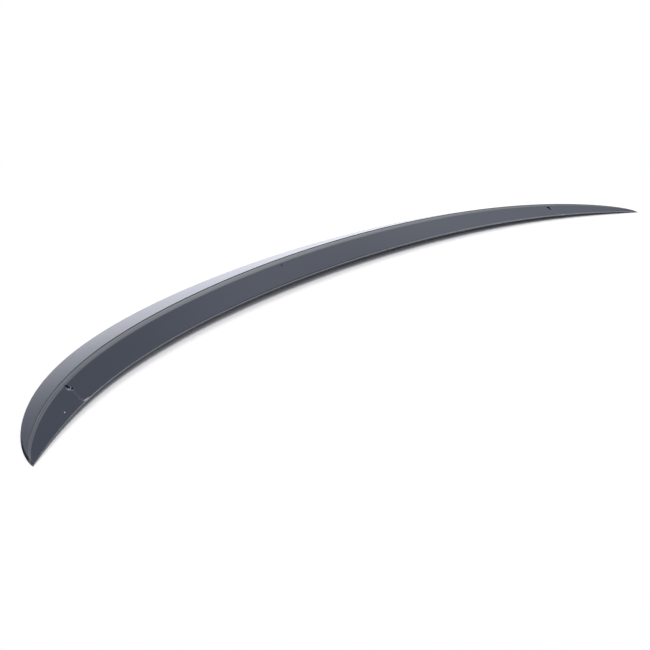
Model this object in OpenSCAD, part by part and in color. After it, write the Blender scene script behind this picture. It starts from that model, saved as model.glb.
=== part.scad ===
/* [Plan] */
// Length of the spoiler from tip to tip
span = 1200; // [900:10:1500]
// How far the middle of the front edge lies behind the tips
front_depth = 171.5; // [120:0.5:185]
// How far the middle of the lip's foot lies behind the tips
foot_depth = 214; // [200:1:235]
// How far the middle of the back edge lies behind the tips
back_depth = 285; // [270:1:360]
// Width of the lip along the ridge, with the step at its back
lip_w = 8; // [4:0.5:14]
// How far the step leans back over its height
step_w = 0.4; // [0.2:0.1:0.8]
// How far the rounding of the lip's foot reaches to each side
foot_round = 2.2; // [0.6:0.1:3.5]

/* [Heights] */
// Height of the ridge, carried on to the tips
ridge_h = 22.5; // [19:0.5:32]
// Extra height of the ridge near the middle
swell_h = 3; // [0:0.5:8]
// Height of the front edge above the floor
front_h = 10.2; // [8:0.1:16]
// How much the lip rises from its foot to the step at its back
lip_rise = 0.5; // [0.2:0.1:2]
// Height of the small step between the lip and the ridge
step_h = 0.9; // [0.3:0.1:1.5]

/* [Walls] */
// Thickness of the front edge
front_t = 3.2; // [2:0.1:5]
// Width of the bevel on the front edge
bevel_w = 1.4; // [0.6:0.1:2]
// Thickness of the back edge
back_t = 2.4; // [1.6:0.1:4]
// Thickness of the body under the ridge
core_t = 14; // [11:0.5:17]

/* [Slots] */
// Distance from the middle of the spoiler to the left slot
left_slot_x = 484.5; // [200:0.5:520]
// Gap between the lip's foot and the left slot
left_slot_gap = 1.5; // [0.5:0.1:8]
// Distance from the middle of the spoiler to the right slot
right_slot_x = 482.5; // [200:0.5:520]
// Gap between the lip's foot and the right slot
right_slot_gap = 6; // [0.5:0.1:8]
// Length of a slot, across the front face
slot_l = 12; // [8:0.5:16]
// Width of a slot
slot_w = 3; // [2:0.1:5]
// Depth of a slot
slot_deep = 2.2; // [1:0.1:3]
// Angle by which the lower end of a slot leans towards the middle of the spoiler
slot_lean = 10; // [0:1:25]

/* [Vent hole] */
// Distance from the middle of the spoiler to the vent hole
vent_x = 53; // [0:1:300]
// Distance from the lip's foot to the middle of the vent hole
vent_gap = 7; // [2:0.1:12]
// Diameter of the vent hole
vent_d = 2.4; // [1:0.1:3.4]
// Depth of the vent hole
vent_deep = 3; // [1:0.1:3.5]

/* [Hidden] */

// Steps along the span, across the front face, the lip's foot, the lip, the back face and the underside
span_steps = 78;
face_steps = 3;
foot_steps = 3;
lip_steps = 2;
back_steps = 5;
under_steps = 12;
// Angle of the last section, a little short of the sharp tip
tip_angle = 88.6;
// How quickly each edge runs in to the tip: at the middle, and the amount added at the tip
front_curve = [1.40, 0.44];
foot_curve = [1.015, 0.39];
back_curve = [0.97, 0.26];

// Share of an edge's depth or height that is left at angle a, where a runs from -90 to 90 along the span
function run_in(a, curve) = pow(cos(a), curve[0] + curve[1] * pow(sin(a), 4));
function place_x(a) = span / 2 * sin(a);
function angle_at(x) = asin(2 * x / span);

// The four edges at angle a, as [y, z]
function front_y(a) = front_depth * run_in(a, front_curve);
function front_z(a) = front_h * run_in(a, [1.1, 0]);
function foot_y(a) = foot_depth * run_in(a, foot_curve);
function ridge_y(a) = foot_y(a) + lip_w * run_in(a, [0.42, 0]);
function ridge_z(a) = ridge_h * run_in(a, [0.88, 0]) + swell_h * run_in(a, [8, 0]);
function foot_z(a) = ridge_z(a) - (lip_rise + step_h) * run_in(a, [0.5, 0]);
function back_y(a) = back_depth * run_in(a, back_curve);

// Edge thicknesses and the small step at angle a, less towards the tips
function front_thick(a) = front_t * run_in(a, [1.1, 0]);
function bevel(a) = bevel_w * run_in(a, [1.1, 0]);
function back_thick(a) = back_t * run_in(a, [0.6, 0]);
function step_foot(a) = [ridge_y(a) - step_w * run_in(a, [0.6, 0]),
    ridge_z(a) - step_h * run_in(a, [0.5, 0])];

// Point at share u between points p and q
function between(p, q, u) = p + (q - p) * u;
function line_points(p, q, steps) = [for (i = [0 : steps - 1]) between(p, q, i / steps)];
// Quadratic bend from p to q, pulled towards the corner
function bend_point(p, corner, q, u) = between(between(p, corner, u), between(corner, q, u), u);

// The hollow underside is one bend from the front edge to the back edge
function under_start(a) = [front_y(a) + bevel(a) / 2, front_z(a) - front_thick(a)];
function under_end(a) = [back_y(a) - back_thick(a) / 2, 0];
function under_bend(a) = [ridge_y(a),
    2 * ridge_z(a) * (1 - core_t / (ridge_h + swell_h)) - under_start(a)[1] / 2];
function under_point(a, u) = bend_point(under_start(a), under_bend(a), under_end(a), u);

// The lip's foot is a soft corner between the front face and the lip, and takes at most 0.4 of either
function face_top(a) = [foot_y(a), foot_z(a)];
function face_low(a) = [front_y(a) + bevel(a), front_z(a) + bevel(a) / 4];
function reach_share(a, far) = min(0.4, foot_round / norm(far - face_top(a)));
function round_start(a) = between(face_top(a), face_low(a), reach_share(a, face_low(a)));
function round_end(a) = between(face_top(a), step_foot(a), reach_share(a, step_foot(a)));
function round_point(a, u) = bend_point(round_start(a), face_top(a), round_end(a), u);

// Half-round nose of the back edge, from its top to its bottom
function nose_points(a) = [for (turn = [60 : -30 : -60])
    [back_y(a) - back_thick(a) / 2 * (1 - cos(turn)), back_thick(a) / 2 * (1 + sin(turn))]];

// One closed section at angle a, from the bottom of the front edge over the top and back underneath
function section(a) = concat(
    [under_start(a),
     [front_y(a), front_z(a) - front_thick(a) + bevel(a) / 2],
     [front_y(a), front_z(a) - bevel(a) / 2]],
    line_points(face_low(a), round_start(a), face_steps),
    [for (i = [0 : foot_steps - 1]) round_point(a, i / foot_steps)],
    line_points(round_end(a), step_foot(a), lip_steps),
    [step_foot(a)],
    line_points([ridge_y(a), ridge_z(a)], nose_points(a)[0], back_steps),
    nose_points(a),
    [for (i = [0 : under_steps - 1]) under_point(a, 1 - i / under_steps)]);

// Slope of the front face at angle a, and the point on it that lies a distance below the lip's foot
function face_slope(a) = atan2(face_top(a)[1] - face_low(a)[1], face_top(a)[0] - face_low(a)[0]);
function face_point(a, gap) =
    face_top(a) - gap * [cos(face_slope(a)), sin(face_slope(a))];

// Crescent skin swept through all the sections, closed by a small flat at each tip
module body_shell() {
    angles = [for (i = [0 : span_steps]) -tip_angle + 2 * tip_angle * i / span_steps];
    rings = [for (a = angles) section(a)];
    n = len(rings[0]);
    points = [for (i = [0 : span_steps]) for (p = rings[i]) [place_x(angles[i]), p[0], p[1]]];
    sides = [for (i = [0 : span_steps - 1]) for (j = [0 : n - 1])
        [i * n + j, i * n + (j + 1) % n, (i + 1) * n + (j + 1) % n, (i + 1) * n + j]];
    first_tip = [for (j = [n - 1 : -1 : 0]) j];
    last_tip = [for (j = [0 : n - 1]) span_steps * n + j];
    polyhedron(points, concat(sides, [first_tip, last_tip]), convexity = 6);
}

// Tool placed on the front face at x, a distance below the lip's foot, with its own +Z out of the face
module on_front_face(x, gap) {
    a = angle_at(x);
    p = face_point(a, gap);
    translate([x, p[0], p[1]]) rotate([face_slope(a), 0, 0]) children();
}

// Long hole with round ends, cut down into the face
module slot_cut() {
    reach = slot_l / 2 - slot_w / 2;
    translate([0, 0, -slot_deep]) linear_extrude(slot_deep + 2) {
        for (side = [-1, 1]) translate([0, side * reach]) circle(d = slot_w, $fn = 24);
        square([slot_w, 2 * reach], center = true);
    }
}

module spoiler() {
    color("slategray")
    translate([0, -back_depth / 2, 0])
    difference() {
        body_shell();
        on_front_face(-left_slot_x, left_slot_gap + slot_l / 2) rotate(slot_lean) slot_cut();
        on_front_face(right_slot_x, right_slot_gap + slot_l / 2) rotate(-slot_lean) slot_cut();
        on_front_face(-vent_x, vent_gap)
            translate([0, 0, -vent_deep]) cylinder(d = vent_d, h = vent_deep + 2, $fn = 24);
    }
}

spoiler();
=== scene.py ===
import math

import bmesh
import bpy
from mathutils import Matrix, Vector


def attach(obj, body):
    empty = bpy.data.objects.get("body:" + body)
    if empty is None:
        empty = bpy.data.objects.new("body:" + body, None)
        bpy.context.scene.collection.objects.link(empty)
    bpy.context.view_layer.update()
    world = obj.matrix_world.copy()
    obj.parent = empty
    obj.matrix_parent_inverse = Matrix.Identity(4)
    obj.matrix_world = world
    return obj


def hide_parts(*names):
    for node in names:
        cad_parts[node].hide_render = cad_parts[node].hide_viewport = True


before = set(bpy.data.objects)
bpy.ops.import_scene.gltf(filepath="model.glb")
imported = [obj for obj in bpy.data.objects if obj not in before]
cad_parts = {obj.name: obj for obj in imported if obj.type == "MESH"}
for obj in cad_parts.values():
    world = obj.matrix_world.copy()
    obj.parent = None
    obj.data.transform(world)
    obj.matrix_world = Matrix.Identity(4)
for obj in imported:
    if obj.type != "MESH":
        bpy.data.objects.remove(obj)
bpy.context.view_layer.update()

MM = 0.001

# Driving sizes of the spoiler, from tip to tip (X) and from the tips to the back edge (Y)
SPAN = 1200 * MM
FRONT_DEPTH, FOOT_DEPTH, BACK_DEPTH = 171.5 * MM, 214 * MM, 285 * MM
RIDGE_H, SWELL_H, FRONT_H = 22.5 * MM, 3 * MM, 10.2 * MM
LIP_W, LIP_RISE, STEP_H, STEP_W = 8 * MM, 0.5 * MM, 0.9 * MM, 0.4 * MM
FRONT_T, BEVEL_W, BACK_T, CORE_T = 3.2 * MM, 1.4 * MM, 2.4 * MM, 14 * MM
TIP_ANGLE = math.radians(88.6)

# How quickly each edge of the plan runs in to the tip: at the middle, and the amount added at the tip
FRONT_CURVE, FOOT_CURVE, BACK_CURVE = (1.40, 0.44), (1.015, 0.39), (0.97, 0.26)

# How quickly the other sizes run out at the tip: the front edge's height and thickness, the lip's width,
# the step's height, the step's lean and the back edge's thickness, and the ridge's two heights
EDGE_CURVE, LIP_CURVE, STEP_CURVE, THIN_CURVE = 1.1, 0.42, 0.5, 0.6
RIDGE_CURVE, SWELL_CURVE = 0.88, 8

# Roundings of the skin: on the front edge, at the lip's foot and on the step, and the most of a side that
# one takes
EDGE_ROUND, FOOT_ROUND, STEP_ROUND, MOST_OF_SIDE = 0.4 * MM, 2.2 * MM, 0.3 * MM, 0.4

# Slots near the tips and the vent hole, all in the front face
SLOT_L, SLOT_W, SLOT_DEEP, SLOT_LEAN = 12 * MM, 3 * MM, 2.2 * MM, math.radians(10)
LEFT_SLOT_X, LEFT_SLOT_GAP = -484.5 * MM, 1.5 * MM
RIGHT_SLOT_X, RIGHT_SLOT_GAP = 482.5 * MM, 6 * MM
VENT_X, VENT_GAP, VENT_D, VENT_DEEP = -53 * MM, 7 * MM, 2.4 * MM, 3 * MM

# The wider rounds in the slots, as place along the span, distance below the lip's foot, and width
LEFT_WIDE, RIGHT_WIDE = (-483.1 * MM, 11.7 * MM, 4.6 * MM), (484.2 * MM, 8.2 * MM, 5.4 * MM)

# The small bent rib that stands in the left slot: its middle, its bend's radius, its width, and its ends
RIB_AT, RIB_BEND, RIB_W = (-484.9 * MM, 9.2 * MM), 2.1 * MM, 1.1 * MM
RIB_ENDS = math.radians(-160), math.radians(25)

# How far the cutters stand above the front face, and how far the rib's block stands above and below it
CUT_ABOVE, RIB_REACH = 2 * MM, 3 * MM

# Fineness of the smooth skin, the nose's turn to each side, and the angle from which an edge stays sharp
SPAN_STEPS, UNDER_STEPS, NOSE_STEPS, EASE_STEPS = 420, 24, 8, 4
NOSE_TURN, SHARP_FROM = math.radians(60), math.radians(50)

# The photograph's camera: focal length in image widths, place, and direction
FOCAL_WIDTHS = 1.7083
SENSOR = 36.0
CAMERA_AT = (-1.0961, -1.0343, 0.5719)
CAMERA_YAW, CAMERA_PITCH = math.radians(45.896), math.radians(23.069)

# The room's light: its plain level, a paler sweep above the horizon, and a soft glow with its direction
ROOM, SWEEP, SWEEP_TOP = 0.38, 0.60, 0.18
GLOW, GLOW_TIGHT = 0.68, 107.0
GLOW_FROM = (0.6965, 0.3641, 0.6184)

# The two round lamps behind the part: distance, and for each its turn from X, rise, width, and watts
LAMPS_AWAY = 14.0
HIGH_LAMP = math.radians(42), math.radians(67), 8.4, 765.0
LOW_LAMP = math.radians(89), math.radians(33.5), 6.0, 945.0

# The floor's reach, and the distances from the middle between which it turns plain white
FLOOR_REACH = 12.0
WHITE_FROM = (0.66, 0.92)


# The crescent's edges, each as (y, z) at an angle from -90 to 90 degrees along the span

def run_in(angle, at_middle, at_tip=0.0):
    """Share of a size that is left at an angle, on the way in to the tip."""
    return math.cos(angle) ** (at_middle + at_tip * math.sin(angle) ** 4)


def front_edge(angle):
    return Vector((FRONT_DEPTH * run_in(angle, *FRONT_CURVE), FRONT_H * run_in(angle, EDGE_CURVE)))


def foot_y(angle):
    return FOOT_DEPTH * run_in(angle, *FOOT_CURVE)


def ridge_edge(angle):
    height = RIDGE_H * run_in(angle, RIDGE_CURVE) + SWELL_H * run_in(angle, SWELL_CURVE)
    return Vector((foot_y(angle) + LIP_W * run_in(angle, LIP_CURVE), height))


def foot_edge(angle):
    """The lip's foot, where the front face meets the lip."""
    drop = (LIP_RISE + STEP_H) * run_in(angle, STEP_CURVE)
    return Vector((foot_y(angle), ridge_edge(angle).y - drop))


def face_low_edge(angle):
    """The front face's lower edge, behind the bevel, which rises by a quarter of its width."""
    bevel = BEVEL_W * run_in(angle, EDGE_CURVE)
    return front_edge(angle) + Vector((bevel, bevel / 4))


def back_edge(angle):
    """The back edge's place in Y and the radius of its nose."""
    return BACK_DEPTH * run_in(angle, *BACK_CURVE), BACK_T * run_in(angle, THIN_CURVE) / 2


def bend(start, corner, end, share):
    """The point at a share of the bend from start to end, which is pulled towards the corner."""
    return start.lerp(corner, share).lerp(corner.lerp(end, share), share)


def eased(corners):
    """The line through the corners, with each inner one rounded over its own reach."""
    points = [corners[0][0]]
    for (before, _), (corner, reach), (after, _) in zip(corners, corners[1:], corners[2:]):
        back, on = before - corner, after - corner
        reach = min(reach, MOST_OF_SIDE * back.length, MOST_OF_SIDE * on.length)
        start, end = corner + reach * back.normalized(), corner + reach * on.normalized()
        points += [bend(start, corner, end, k / EASE_STEPS) for k in range(EASE_STEPS + 1)]
    return points


def nose_line(angle):
    """The rounded nose of the back edge, from its top to its bottom."""
    back_y, nose = back_edge(angle)
    turns = [NOSE_TURN * (1 - 2 * k / NOSE_STEPS) for k in range(NOSE_STEPS + 1)]
    return [Vector((back_y - nose * (1 - math.cos(t)), nose * (1 + math.sin(t)))) for t in turns]


def under_line(angle, low):
    """The hollow underside, one bend from the back edge to the bottom of the front edge."""
    back_y, nose = back_edge(angle)
    ridge = ridge_edge(angle)
    pull = Vector((ridge.x, 2 * ridge.y * (1 - CORE_T / (RIDGE_H + SWELL_H)) - low.y / 2))
    end = Vector((back_y - nose, 0))
    return [bend(low, pull, end, 1 - k / UNDER_STEPS) for k in range(UNDER_STEPS)]


def section(angle):
    """One closed section: front edge, front face, lip, step, back face, nose and underside."""
    front, ridge, nose = front_edge(angle), ridge_edge(angle), nose_line(angle)
    bevel = BEVEL_W * run_in(angle, EDGE_CURVE)
    low = Vector((front.x + bevel / 2, front.y - FRONT_T * run_in(angle, EDGE_CURVE)))
    step = Vector((STEP_W * run_in(angle, THIN_CURVE), STEP_H * run_in(angle, STEP_CURVE)))
    corners = [
        (low, 0),
        (Vector((front.x, low.y + bevel / 2)), EDGE_ROUND),
        (Vector((front.x, front.y - bevel / 2)), EDGE_ROUND),
        (face_low_edge(angle), EDGE_ROUND),
        (foot_edge(angle), FOOT_ROUND),
        (ridge - step, STEP_ROUND),
        (ridge, STEP_ROUND),
        (nose[0], 0)]
    return eased(corners) + nose + under_line(angle, low)


def face_spot(x, gap, lean=0.0):
    """Place on the front face at x, a distance below the lip's foot, with +Z out of the face."""
    angle = math.asin(2 * x / SPAN)
    foot, low = foot_edge(angle), face_low_edge(angle)
    down = (low - foot).normalized()
    spot = foot + gap * down
    slope = math.atan2(-down.y, -down.x)
    at = Vector((x, spot.x - BACK_DEPTH / 2, spot.y))
    return Matrix.Translation(at) @ Matrix.Rotation(slope, 4, "X") @ Matrix.Rotation(lean, 4, "Z")


# Meshes

def mesh_object(name, bm):
    """Makes a piece of the scene from its faces."""
    mesh = bpy.data.meshes.new(name)
    bmesh.ops.recalc_face_normals(bm, faces=bm.faces)
    bm.to_mesh(mesh)
    bm.free()
    piece = bpy.data.objects.new(name, mesh)
    bpy.context.scene.collection.objects.link(piece)
    return piece


def swept_skin():
    """The crescent's skin through all its sections, with a small flat at each tip."""
    bm = bmesh.new()
    rings = []
    for i in range(SPAN_STEPS + 1):
        angle = TIP_ANGLE * (2 * i / SPAN_STEPS - 1)
        x = SPAN / 2 * math.sin(angle)
        rings.append([bm.verts.new((x, p.x - BACK_DEPTH / 2, p.y)) for p in section(angle)])
    for ring, following in zip(rings, rings[1:]):
        for j in range(len(ring)):
            bm.faces.new((ring[j - 1], ring[j], following[j], following[j - 1]))
    bm.faces.new(rings[0])
    bm.faces.new(rings[-1])
    return mesh_object("spoiler_skin", bm)


def prism(outline, low, high, place):
    """A closed block with the outline's form, standing from low to high at a place."""
    bm = bmesh.new()
    rings = [[bm.verts.new(place @ Vector((x, y, z))) for x, y in outline] for z in (low, high)]
    for j in range(len(outline)):
        bm.faces.new((rings[0][j - 1], rings[0][j], rings[1][j], rings[1][j - 1]))
    bm.faces.new(rings[0])
    bm.faces.new(rings[1])
    return mesh_object("cutter", bm)


def long_round(length, width, steps=12):
    """Outline of a long hole with round ends, lying along Y."""
    outline = []
    for side, half_turns in ((1, 0), (-1, 1)):
        for k in range(steps + 1):
            turn = math.pi * (k / steps + half_turns)
            outline.append((width / 2 * math.cos(turn),
                            side * (length - width) / 2 + width / 2 * math.sin(turn)))
    return outline


def bent_strip(radius, width, start, end, steps=16):
    """Outline of a strip bent around the origin."""
    turns = [start + (end - start) * k / steps for k in range(steps + 1)]
    outer, inner = radius + width / 2, radius - width / 2
    there = [(math.cos(t) * outer, math.sin(t) * outer) for t in turns]
    back = [(math.cos(t) * inner, math.sin(t) * inner) for t in reversed(turns)]
    return there + back


def cut(piece, cutter):
    """Cuts the cutter's form out of the piece, then removes the cutter."""
    modifier = piece.modifiers.new("cut", "BOOLEAN")
    modifier.operation, modifier.solver, modifier.object = "DIFFERENCE", "EXACT", cutter
    graph = bpy.context.evaluated_depsgraph_get()
    done = bpy.data.meshes.new_from_object(piece.evaluated_get(graph))
    piece.modifiers.clear()
    piece.data = done
    bpy.data.objects.remove(cutter)


def smooth(piece):
    """Shades the piece as a smooth skin with crisp edges."""
    for face in piece.data.polygons:
        face.use_smooth = True
    piece.data.set_sharp_from_angle(angle=SHARP_FROM)
    weighted = piece.modifiers.new("even shading", "WEIGHTED_NORMAL")
    weighted.keep_sharp = True


# Shader maths

class Wire:
    """An output of a material's nodes that can be used in sums."""

    def __init__(self, shader, socket):
        self.shader, self.socket = shader, socket

    def _math(self, operation, *values):
        return self.shader.node("ShaderNodeMath", {"operation": operation}, dict(enumerate(values)))

    def __add__(self, other):
        return self._math("ADD", self, other)

    def __radd__(self, other):
        return self._math("ADD", other, self)

    def __sub__(self, other):
        return self._math("SUBTRACT", self, other)

    def __rsub__(self, other):
        return self._math("SUBTRACT", other, self)

    def __mul__(self, other):
        return self._math("MULTIPLY", self, other)

    def __rmul__(self, other):
        return self._math("MULTIPLY", other, self)

    def __truediv__(self, other):
        return self._math("DIVIDE", self, other)

    def __pow__(self, other):
        return self._math("POWER", self, other)

    def __abs__(self):
        return self._math("ABSOLUTE", self)

    def at_least(self, least):
        """The larger of this and the least."""
        return self._math("MAXIMUM", self, least)

    def clamped(self):
        """This, kept between 0 and 1."""
        return self.shader.node("ShaderNodeClamp", {}, {"Value": self})

    def over(self, start, end):
        """0 below the start, rising smoothly to 1 at the end."""
        return self.shader.node("ShaderNodeMapRange", {"interpolation_type": "SMOOTHSTEP"}, {
            "Value": self, "From Min": start, "From Max": end, "To Min": 0.0, "To Max": 1.0})

    def near(self, middle, reach, fade):
        """1 within the reach of the middle, falling smoothly to 0 over the fade."""
        return 1 - abs(self - middle).over(reach, reach + fade)


class Shader:
    """The nodes of one material, or of the world."""

    def __init__(self, owner):
        owner.use_nodes = True
        self.owner, self.tree = owner, owner.node_tree
        self.tree.nodes.clear()

    def node(self, kind, settings, inputs, output=0):
        """Adds a node with its settings and its sockets' values or links, and gives back one output."""
        made = self.tree.nodes.new(kind)
        for name, value in settings.items():
            setattr(made, name, value)
        for name, value in inputs.items():
            if isinstance(value, Wire):
                self.tree.links.new(value.socket, made.inputs[name])
            else:
                made.inputs[name].default_value = value
        return Wire(self, made.outputs[output])

    def mix(self, amount, first, second):
        """Colour between two colours."""
        return self.node("ShaderNodeMix", {"data_type": "RGBA"},
                         {"Factor": amount, 6: first, 7: second}, output=2)

    def noise(self, where, scale, detail, rough=0.5):
        """Random clouds from 0 to 1, of a scale."""
        return self.node("ShaderNodeTexNoise", {}, {
            "Vector": where, "Scale": scale, "Detail": detail, "Roughness": rough})

    def split(self, vector):
        """The vector's x, y and z."""
        return [self.node("ShaderNodeSeparateXYZ", {}, {"Vector": vector}, output=i) for i in range(3)]

    def ray(self, kind):
        """1 for rays of one kind, and 0 for all others."""
        return self.node("ShaderNodeLightPath", {}, {}, output=kind)

    def finish(self, surface, output="ShaderNodeOutputMaterial"):
        """Puts the surface on, and gives back what the nodes belong to."""
        out = self.tree.nodes.new(output)
        self.tree.links.new(surface.socket, out.inputs["Surface"])
        return self.owner


def tone(red, green, blue):
    return (red, green, blue, 1.0)


# Primer colours: the sprayed coat, the sanded lip, rubbed edges, which on the front edge also carry a
# painted highlight, a paint nib, and the dark of the painted shade
SLATE, SLATE_PALE = tone(0.0360, 0.0420, 0.0645), tone(0.0420, 0.0490, 0.0715)
SANDED, RUBBED, NIB = tone(0.262, 0.279, 0.286), tone(0.370, 0.370, 0.395), tone(0.70, 0.70, 0.70)
SHADED = tone(0.010, 0.011, 0.016)

# Primer's finish: roughness, what the clouds and the rubbing add to it, and how light bends in it
ROUGH, ROUGH_CLOUDS, ROUGH_RUBBED, PRIMER_IOR = 0.12, 0.03, 0.4, 1.5

# Its fine bumps: their strength and height, and the grain's share beside the peel
BUMP_STRENGTH, BUMP_H, GRAIN_SHARE = 0.03, 0.4 * MM, 0.5

# Patterns in the primer, each as scale and detail: broad clouds, blotches, the spray's peel and its grain
CLOUDS, BLOTCHES, PEEL, GRAIN = (9.0, 4.0), (140.0, 3.0, 0.6), (260.0, 2.0), (900.0, 2.0)

# Floor colours: as it lights the part, as the camera sees it, and as the gloss mirrors it
FLOOR, FLOOR_SEEN, FLOOR_MIRRORED = tone(0.86, 0.86, 0.86), tone(1.09, 1.07, 1.05), tone(1.23, 1.24, 1.32)
WHITE, ROOM_TONE = tone(1.0, 1.0, 1.0), tone(0.96, 1.0, 1.08)

# How far up a surface has to face to count as the top, and the front face's length for each length in plan
TOP_FROM, FACE_STRETCH = (0.1, 0.3), 1.03

# The sanded lip, from 0 at its foot to 1 at the step: where it starts, where it grows paler, and where it
# ends, which begins sooner in the middle of the span
LIP_START, LIP_PALER, LIP_PALER_BY = (-0.5, 0.0), (0.2, 0.6), 0.25
LIP_END_FROM, LIP_END_SOONER, LIP_END = 0.93, 0.06, 0.97

# Painted light on it near the left tip: a pale line at the foot as a painted highlight, and a dull line
# just behind it as painted shade, each as middle, reach and fade
LIP_LEFT, LIP_HIGHLIGHT_LINE, LIP_SHADE_LINE, LINE_BY = (480 * MM, 520 * MM), (0.0, 0.1, 0.12), (0.3, 0.08, 0.15), 0.25

# Its strength at the tips, what the right side and the middle add to that, and the clouds in it
LIP_AT_TIPS, LIP_TO_RIGHT, LIP_IN_MIDDLE, LIP_CLOUDS = 0.38, 0.13, 0.5, (0.85, 0.3)

# The pale line on the front edge, rubbed primer with the edge's highlight painted into it, and painted
# light
# on the top of the wall under it: from where to where it fades behind the edge and down the wall, where it
# is wider at the right and reaches further down at the left, and by how much
EDGE_BEHIND, EDGE_DOWN = (0.2 * MM, 0.8 * MM), (-1.6 * MM, -1.2 * MM)
EDGE_RIGHT, EDGE_WIDER = (-100 * MM, 400 * MM), 0.9 * MM
EDGE_LEFT, EDGE_FURTHER = (500 * MM, 540 * MM), 3 * MM

# Its brighter stretches, each as middle, reach and fade, and its strength: plain, and what the blotches,
# the brighter stretches and the right end add, and what the left end takes away
EDGE_BRIGHT = (-470 * MM, 6 * MM, 6 * MM), (481.9 * MM, 2 * MM, 1.5 * MM)
EDGE_PLAIN, EDGE_BLOTCHES, EDGE_BRIGHT_BY, EDGE_RIGHT_BY, EDGE_LEFT_BY = 0.50, 0.5, 0.35, 0.03, 0.36

# Rubbed streak that leaves the front edge near the left seam: middle, distance behind the front edge,
# lean, half width and half length with their fades, and the blotches in it
STREAK_X, STREAK_FRONT, STREAK_LEAN = -481.0 * MM, 1.2 * MM, -0.207
STREAK_WIDE, STREAK_LONG, STREAK_BLOTCHES = (0.6 * MM, 0.8 * MM), (4 * MM, 2 * MM), (0.7, 0.5)

# Pale rim beside the left slot, a bowed line: its upper end, its slant, its bow and its length, and the
# line's half width and stretch with their fades
RIM_AT, RIM_SLANT, RIM_BOW, RIM_L = (-488.3 * MM, 6.3 * MM), 0.587, 85.0, 10.4 * MM
RIM_WIDE, RIM_LONG = (0.5 * MM, 0.8 * MM), (5 * MM, 5 * MM, 1.5 * MM)

# Seams beside the slots: where each meets the lip's foot, lean, width, fade, and how far down they start
SEAMS, SEAM_LEAN, SEAM_W, SEAM_FADE = (-482.0 * MM, 484.6 * MM), 0.15, 1.0 * MM, 1.5 * MM
SEAM_BELOW = (-14 * MM, -12 * MM)

# Round marks, each as place, radius, and the shares of the radius between which it fades: small rubbed
# dots, a pale spot beside the right slot, and a paint nib
DOTS_AT, DOT_R, DOT_FADE = ((-488.5 * MM, 8.6 * MM), (-485.6 * MM, 5.5 * MM)), 0.8 * MM, (0.5, 1.3)
SPOT_AT, SPOT_R, SPOT_FADE = (485.8 * MM, 13.1 * MM), 1.0 * MM, (0.8, 2.0)
NIB_AT, NIB_R, PAINT_FADE = (-517.4 * MM, 10.5 * MM), 1.0 * MM, (0.6, 1.2)

# The fainter paint speck and its strength, and the painted shade in the vent hole, a dark round over it:
# the shares of the hole's width between which it fades, and its strength
SPECK_AT, SPECK_R, SPECK_BY = (484.3 * MM, 0.3 * MM), 1.8 * MM, 0.45
VENT_FADE, VENT_SHADE = (0.5, 0.8), 0.9

# Strength of the dots, the rim, the spot and the seams
DOTS_BY, RIM_BY, SPOT_BY, SEAMS_BY = 0.2, 0.25, 0.3, 0.06

# The rib's bare top: half width and fade as shares of the rib's width, and how far below the lip's foot it
# starts
TOP_W, TOP_FADE, TOP_BELOW = 0.4, 0.3, (8.2 * MM, 8.8 * MM)

# Painted shade at the near tip, a dark strip on the back edge's nose where the contact shadow falls:
# distances to the back edge and from the middle of the span between which it fades in, where it weakens
# again and by how much, and the strength of all the painted shade, here and in the vent hole
NOSE_SHADE_BACK, NOSE_SHADE_FROM = (-1.1 * MM, -0.6 * MM), (572 * MM, 589 * MM)
NOSE_SHADE_WEAKER, NOSE_SHADE_WEAKER_BY, SHADE_BY = (596 * MM, 599 * MM), 0.4, 0.9


# Materials

class Place:
    """Where a point lies on the spoiler, told by the same edge formulas as the shape's."""

    def __init__(self, shader):
        self.at = shader.node("ShaderNodeTexCoord", {}, {}, output="Object")
        self.x, self.y, self.z = shader.split(self.at)
        self.to_left = 0 - self.x
        _, _, upward = shader.split(shader.node("ShaderNodeNewGeometry", {}, {}, output="Normal"))
        self.on_top = upward.over(*TOP_FROM)
        self.along = self.x / (SPAN / 2)
        self.inward = (1 - self.along * self.along) ** 0.5
        self.behind_front = self.behind(FRONT_DEPTH, FRONT_CURVE)
        self.behind_foot = self.behind(FOOT_DEPTH, FOOT_CURVE)
        self.behind_back = self.behind(BACK_DEPTH, BACK_CURVE)
        self.across_lip = self.behind_foot / (LIP_W * self.inward ** LIP_CURVE)
        self.above_front = self.z / self.inward ** EDGE_CURVE - FRONT_H

    def behind(self, depth, curve):
        """Distance in Y behind one of the plan's edges."""
        edge = depth * self.inward ** (curve[0] + curve[1] * self.along ** 4)
        return self.y + BACK_DEPTH / 2 - edge

    def from_foot(self, x, gap):
        """Distance from a spot on the front face that lies a gap below the lip's foot."""
        across, down = self.x - x, self.behind_foot * FACE_STRETCH + gap
        return (across * across + down * down) ** 0.5

    def from_front(self, x, gap):
        """Distance from a spot on the front face that lies a gap behind the front edge."""
        across, up = self.x - x, self.behind_front - gap
        return (across * across + up * up) ** 0.5


def dot(distance, radius, inner, outer):
    """A round mark that fades between two shares of its radius."""
    return 1 - distance.over(inner * radius, outer * radius)


def sanded_lip(place, clouds):
    """The lip, sanded pale between its foot and the step, less so towards the tips, with a painted
    highlight and painted shade across it near the left tip.
    """
    across, at_left = place.across_lip, place.to_left.over(*LIP_LEFT)
    band = across.over(*LIP_START) * place.on_top
    band = band * (1 - across.over(LIP_END_FROM - LIP_END_SOONER * place.inward, LIP_END))
    profile = 1 - LIP_PALER_BY + LIP_PALER_BY * across.over(*LIP_PALER)
    # Painted highlight at the lip's foot and painted shade just behind it, near the left tip
    profile = profile + LINE_BY * at_left * across.near(*LIP_HIGHLIGHT_LINE)
    dull = 1 - LINE_BY * at_left * across.near(*LIP_SHADE_LINE)
    strength = LIP_AT_TIPS + LIP_TO_RIGHT * place.along + LIP_IN_MIDDLE * place.inward * place.inward
    return band * profile * dull * strength * (LIP_CLOUDS[0] + LIP_CLOUDS[1] * clouds)


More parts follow.
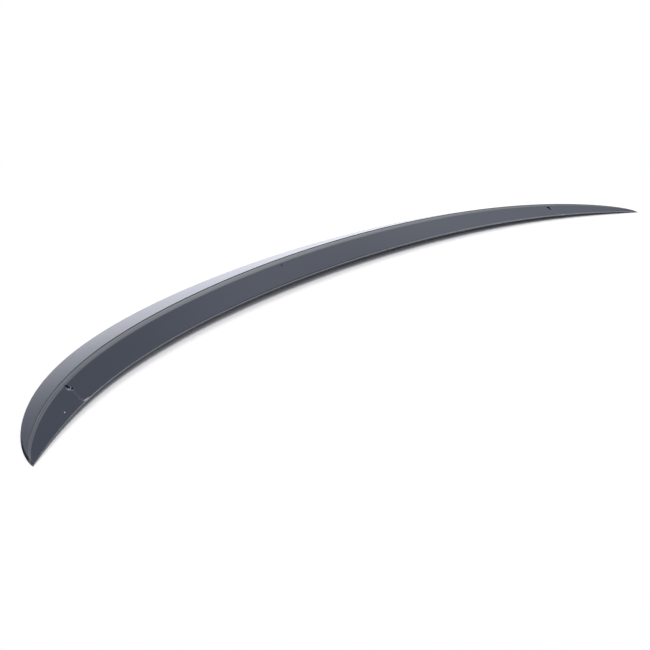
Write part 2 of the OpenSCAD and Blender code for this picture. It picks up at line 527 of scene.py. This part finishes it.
def rubbed_front_and_highlight(place, blotches):
    """The thin pale line along the front edge and the top of the wall under it: rubbed primer, with the
    edge's highlight painted in.
    """
    at_left, at_right = place.to_left.over(*EDGE_LEFT), place.x.over(*EDGE_RIGHT)
    wall = (place.above_front + EDGE_FURTHER * at_left).over(*EDGE_DOWN)
    line = (1 - (place.behind_front - EDGE_WIDER * at_right).over(*EDGE_BEHIND)) * wall
    bright = sum(place.x.near(*stretch) for stretch in EDGE_BRIGHT)
    ends = EDGE_RIGHT_BY * at_right - EDGE_LEFT_BY * at_left
    return line * (EDGE_PLAIN + EDGE_BLOTCHES * blotches + EDGE_BRIGHT_BY * bright + ends)


def rubbed_streak(place, blotches):
    """The pale streak that leaves the front edge at a slant."""
    off = place.behind_front - STREAK_FRONT - STREAK_LEAN * (place.x - STREAK_X)
    streak = off.near(0, *STREAK_WIDE) * place.x.near(STREAK_X, *STREAK_LONG)
    return streak * (STREAK_BLOTCHES[0] + STREAK_BLOTCHES[1] * blotches)


def pale_rim(place):
    """The pale bowed line beside the left slot."""
    down = 0 - place.behind_foot * FACE_STRETCH - RIM_AT[1]
    bowed = RIM_AT[0] + RIM_SLANT * down - RIM_BOW * down * (RIM_L - down)
    return (place.x - bowed).near(0, *RIM_WIDE) * down.near(*RIM_LONG)


def seam_lines(place):
    """The faint seams that run down the front face beside the slots."""
    leaning = place.x - SEAM_LEAN * place.behind_foot
    lines = sum(leaning.near(seam, SEAM_W / 2, SEAM_FADE) for seam in SEAMS)
    return lines * (1 - place.behind_foot.over(*SEAM_BELOW))


def rubbed_marks(place, blotches):
    """The streak, the faint dots, the left slot's pale rim, the right slot's pale spot and the seams."""
    dots = sum(dot(place.from_front(*spot), DOT_R, *DOT_FADE) for spot in DOTS_AT)
    spot = dot(place.from_foot(*SPOT_AT), SPOT_R, *SPOT_FADE)
    marks = rubbed_streak(place, blotches) + DOTS_BY * dots + RIM_BY * pale_rim(place)
    return (marks + SPOT_BY * spot + SEAMS_BY * seam_lines(place)) * place.on_top


def rib_top(place):
    """The bent rib's bare top."""
    ring = place.from_foot(*RIB_AT).near(RIB_BEND, TOP_W * RIB_W, TOP_FADE * RIB_W)
    return ring * (0 - place.behind_foot).over(*TOP_BELOW) * place.on_top


def painted_nose_shade(place):
    """Painted shade: a dark, matt strip on the back edge's nose at the near tip, where the contact shadow
    falls.
    """
    strip = (place.behind_back * place.inward).over(*NOSE_SHADE_BACK) * place.to_left.over(*NOSE_SHADE_FROM)
    return strip * (1 - NOSE_SHADE_WEAKER_BY * place.to_left.over(*NOSE_SHADE_WEAKER))


def paint_drops(place):
    """The pale paint nib and the fainter paint speck."""
    nib = dot(place.from_front(*NIB_AT), NIB_R, *PAINT_FADE)
    speck = dot(place.from_front(*SPECK_AT), SPECK_R, *PAINT_FADE)
    return (nib + SPECK_BY * speck) * place.on_top


def grey_primer():
    """Satin grey primer: sanded lip, rubbed places, paint drops, painted highlights and painted shade."""
    shader = Shader(bpy.data.materials.new("grey_primer"))
    place = Place(shader)
    clouds, blotches, peel, grain = [
        shader.noise(place.at, *pattern) for pattern in (CLOUDS, BLOTCHES, PEEL, GRAIN)]
    sanded, front_rub_and_highlight = sanded_lip(place, clouds), rubbed_front_and_highlight(place, blotches)
    marks, rib = rubbed_marks(place, blotches), rib_top(place)
    # Painted shade in the vent hole: a dark round over it
    vent = dot(place.from_foot(VENT_X, VENT_GAP), VENT_D, *VENT_FADE)
    # All the painted shade: the dark strip on the near tip's back edge and the dark round in the vent hole
    shade = painted_nose_shade(place) + VENT_SHADE * vent * place.on_top

    colour = shader.mix(clouds, SLATE, SLATE_PALE)
    colour = shader.mix(sanded, colour, SANDED)
    for rubbed in (front_rub_and_highlight, marks, rib):
        colour = shader.mix(rubbed, colour, RUBBED)
    colour = shader.mix(paint_drops(place), colour, NIB)
    dulled = (sanded + front_rub_and_highlight + marks + rib).clamped()
    bump = shader.node("ShaderNodeBump", {}, {
        "Strength": BUMP_STRENGTH, "Distance": BUMP_H, "Height": peel + GRAIN_SHARE * grain})
    paint = shader.node("ShaderNodeBsdfPrincipled", {}, {
        "Base Color": colour, "Roughness": ROUGH + ROUGH_CLOUDS * clouds + ROUGH_RUBBED * dulled,
        "IOR": PRIMER_IOR, "Normal": bump})
    # Dark matt coat that carries the painted shade
    dark = shader.node("ShaderNodeBsdfDiffuse", {}, {"Color": SHADED})
    return shader.finish(shader.node("ShaderNodeMixShader", {}, {0: SHADE_BY * shade, 1: paint, 2: dark}))


def studio_floor():
    """Pale floor that keeps the shadow, and shows plain white further out and in the gloss."""
    shader = Shader(bpy.data.materials.new("studio_floor"))
    seen, mirrored = shader.ray("Is Camera Ray"), shader.ray("Is Glossy Ray")
    x, y, _ = shader.split(shader.node("ShaderNodeTexCoord", {}, {}, output="Object"))
    outside = ((x * x + y * y) ** 0.5).over(*WHITE_FROM)
    colour = shader.mix(mirrored, shader.mix(seen, FLOOR, FLOOR_SEEN), FLOOR_MIRRORED)
    lit = shader.node("ShaderNodeBsdfDiffuse", {}, {"Color": colour})
    plain = shader.node("ShaderNodeEmission", {}, {"Color": WHITE})
    share = seen.at_least(mirrored) * outside
    return shader.finish(shader.node("ShaderNodeMixShader", {}, {0: share, 1: lit, 2: plain}))


# The set

def make_floor():
    """The studio's level floor, which the spoiler lies on."""
    bm = bmesh.new()
    bmesh.ops.create_grid(bm, x_segments=1, y_segments=1, size=FLOOR_REACH)
    floor = mesh_object("studio_floor", bm)
    floor.data.materials.append(studio_floor())


def make_world():
    """An even grey room with one soft glow behind the far end, and white to the camera."""
    shader = Shader(bpy.data.worlds.new("studio"))
    towards = shader.node("ShaderNodeTexCoord", {}, {}, output="Generated")
    facing = shader.node("ShaderNodeVectorMath", {"operation": "DOT_PRODUCT"},
                         {0: towards, 1: GLOW_FROM}, output="Value")
    glow = facing.at_least(0.0) ** GLOW_TIGHT
    _, _, height = shader.split(towards)
    sweep = 1 - height.over(0.0, SWEEP_TOP)
    room = shader.node("ShaderNodeBackground", {}, {
        "Color": ROOM_TONE, "Strength": ROOM + SWEEP * sweep + GLOW * glow})
    white = shader.node("ShaderNodeBackground", {}, {"Color": WHITE, "Strength": 1.0})
    mixed = shader.node("ShaderNodeMixShader", {}, {0: shader.ray("Is Camera Ray"), 1: room, 2: white})
    bpy.context.scene.world = shader.finish(mixed, "ShaderNodeOutputWorld")


def round_softbox(name, turn, rise, width, power):
    """A round lamp that faces the part from a direction."""
    light = bpy.data.lights.new(name, "AREA")
    light.shape, light.size, light.energy = "DISK", width, power
    lamp = bpy.data.objects.new(name, light)
    level = LAMPS_AWAY * math.cos(rise)
    lamp.location = level * math.cos(turn), level * math.sin(turn), LAMPS_AWAY * math.sin(rise)
    lamp.rotation_euler = (-lamp.location).to_track_quat("-Z", "Y").to_euler()
    bpy.context.scene.collection.objects.link(lamp)


def make_camera():
    """The camera, where the photograph was taken from."""
    data = bpy.data.cameras.new("camera")
    data.sensor_width, data.lens = SENSOR, SENSOR * FOCAL_WIDTHS
    camera = bpy.data.objects.new("camera", data)
    camera.location = CAMERA_AT
    camera.rotation_euler = (math.pi / 2 - CAMERA_PITCH, 0, -CAMERA_YAW)
    bpy.context.scene.collection.objects.link(camera)
    bpy.context.scene.camera = camera


# The spoiler

def hole_cutter(length, width, deep, place):
    """Cutter for a hole with round ends, straight down into the front face."""
    return prism(long_round(length, width), -deep, CUT_ABOVE, place)


def slot_cutter(x, gap, lean):
    """Cutter for a slot whose upper end lies a gap below the lip's foot."""
    return hole_cutter(SLOT_L, SLOT_W, SLOT_DEEP, face_spot(x, gap + SLOT_L / 2, lean))


def round_cutter(x, gap, width, deep=SLOT_DEEP):
    """Cutter for a round hole whose middle lies a gap below the lip's foot."""
    return hole_cutter(width, width, deep, face_spot(x, gap))


def sparing_rib(cutter):
    """The cutter, with the bent rib's block taken out of it, so that the rib stays."""
    strip = bent_strip(RIB_BEND, RIB_W, *RIB_ENDS)
    cut(cutter, prism(strip, -RIB_REACH, RIB_REACH, face_spot(*RIB_AT)))
    return cutter


def make_spoiler():
    """The spoiler's skin with its slots, its rib and its vent hole."""
    skin = swept_skin()
    cut(skin, sparing_rib(slot_cutter(LEFT_SLOT_X, LEFT_SLOT_GAP, SLOT_LEAN)))
    cut(skin, slot_cutter(RIGHT_SLOT_X, RIGHT_SLOT_GAP, -SLOT_LEAN))
    cut(skin, sparing_rib(round_cutter(*LEFT_WIDE)))
    cut(skin, round_cutter(*RIGHT_WIDE))
    cut(skin, round_cutter(VENT_X, VENT_GAP, VENT_D, VENT_DEEP))
    smooth(skin)
    skin.data.materials.append(grey_primer())
    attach(skin, "root")
    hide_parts("spoiler")


make_camera()
make_world()
make_floor()
round_softbox("high_lamp", *HIGH_LAMP)
round_softbox("low_lamp", *LOW_LAMP)
make_spoiler()
bpy.context.scene.view_settings.view_transform = "Standard"
